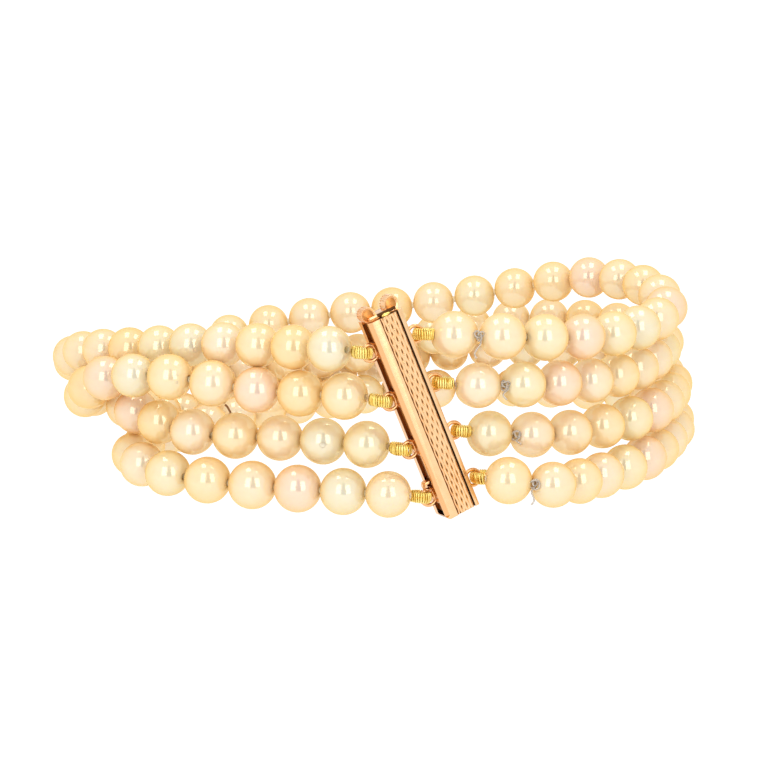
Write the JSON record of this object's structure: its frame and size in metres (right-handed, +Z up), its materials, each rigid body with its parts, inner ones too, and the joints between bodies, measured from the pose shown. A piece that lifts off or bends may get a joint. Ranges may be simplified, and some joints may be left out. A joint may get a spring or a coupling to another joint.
{
  "type": "pearl bracelet",
  "caption": "Bracelet of several strands of round cream pearls that meet at an engraved rose-gold tube clasp, fastened and standing on its edge.",
  "frame": {"origin": "middle of the fastened bracelet's box, on the surface that its lowest strand and the clasp's foot stand on", "axes": "+X to the right of the clasp's front along the loop's longer way, +Y from the clasp through the loop to its back, +Z up through the stacked strands"},
  "size_m": [0.079, 0.0648, 0.0247],
  "materials": {
    "pearl": "cream nacre with a high lustre",
    "clasp_gold": "polished rose gold, engraved on its front",
    "gimp_gold": "bright yellow gold, finely coiled"
  },
  "bodies": {
    "root": {"strand_1": "pearl", "strand_2": "pearl", "strand_3": "pearl", "strand_4": "pearl", "clasp_case": "clasp_gold", "clasp_slide": "clasp_gold", "gimp_left_1": "gimp_gold", "gimp_left_2": "gimp_gold", "gimp_left_3": "gimp_gold", "gimp_left_4": "gimp_gold", "gimp_right_1": "gimp_gold", "gimp_right_2": "gimp_gold", "gimp_right_3": "gimp_gold", "gimp_right_4": "gimp_gold"}
  },
  "joints": []
}
